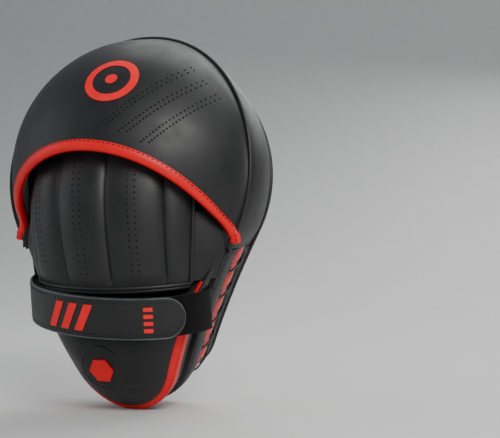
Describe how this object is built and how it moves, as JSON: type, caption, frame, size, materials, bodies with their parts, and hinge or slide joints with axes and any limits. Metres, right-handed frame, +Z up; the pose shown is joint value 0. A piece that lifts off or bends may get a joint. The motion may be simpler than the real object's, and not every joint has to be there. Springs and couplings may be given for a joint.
{
  "type": "boxing focus pad",
  "caption": "Curved boxing focus pad for the left hand with padded striking face, domed finger hood, quilted hand-back pad, laced gussets and a hook-and-loop wrist strap.",
  "frame": {"origin": "centre of the bounding box at the lowest point of the heel", "axes": "+Z up from the heel to the finger end, +Y out of the striking face, +X towards the thumb side, right as seen from the hand side"},
  "size_m": [0.1984, 0.1416, 0.2701],
  "materials": {
    "leather_black": "matte fine-grained synthetic leather",
    "binding_red": "satin bound edge",
    "mesh_red": "knitted mesh",
    "lace_black": "braided cord",
    "foam": "closed-cell foam",
    "gel": "soft gel",
    "board": "stiff foam board",
    "lining": "brushed lining cloth",
    "palm_ball": "dense foam under cloth",
    "loop_pile": "loop pile",
    "hook_tape": "hook tape",
    "edge_binding_black": "folded binding",
    "badge_rubber": "embossed matte rubber",
    "emblem_red": "moulded rubber"
  },
  "bodies": {
    "pad": {"face_cover": "leather_black", "head_band": "leather_black", "gusset_front_rail": "leather_black", "gusset_back_rail": "leather_black", "gusset_tabs": "leather_black", "hood_cover": "leather_black", "hand_pad_cover": "leather_black", "wrist_pad_cover": "leather_black", "wrist_pad_wall": "leather_black", "strap_anchor": "leather_black", "side_wing_left": "leather_black", "side_wing_right": "leather_black", "hood_piping": "leather_black", "face_piping": "leather_black", "hand_pad_edging": "leather_black", "hood_binding": "binding_red", "wrist_pad_binding": "binding_red", "lace_insert": "mesh_red", "lace": "lace_black", "strike_foam": "foam", "palm_foam": "foam", "hood_foam": "foam", "wrist_pad_foam": "foam", "finger_channel_1": "foam", "finger_channel_2": "foam", "finger_channel_3": "foam", "finger_channel_4": "foam", "finger_channel_5": "foam", "gel_sheet": "gel", "backing_board": "board", "palm_panel": "lining", "hood_lining": "lining", "hand_pad_lining": "lining", "palm_ball": "palm_ball", "loop_band": "loop_pile", "band_tab_left": "loop_pile", "band_tab_right": "loop_pile", "badge_disc": "badge_rubber", "badge_emblem": "emblem_red"},
    "strap": {"wrist_strap": "leather_black", "strap_edging": "edge_binding_black", "hook_patch": "hook_tape"}
  },
  "joints": [
    {"name": "strap_open", "type": "hinge", "parent": "pad", "child": "strap", "pos_m": [-0.07306, -0.01027, 0.08263], "axis": [-0.0515, 0.1805, -0.9822], "range_deg": [0, 110]}
  ]
}
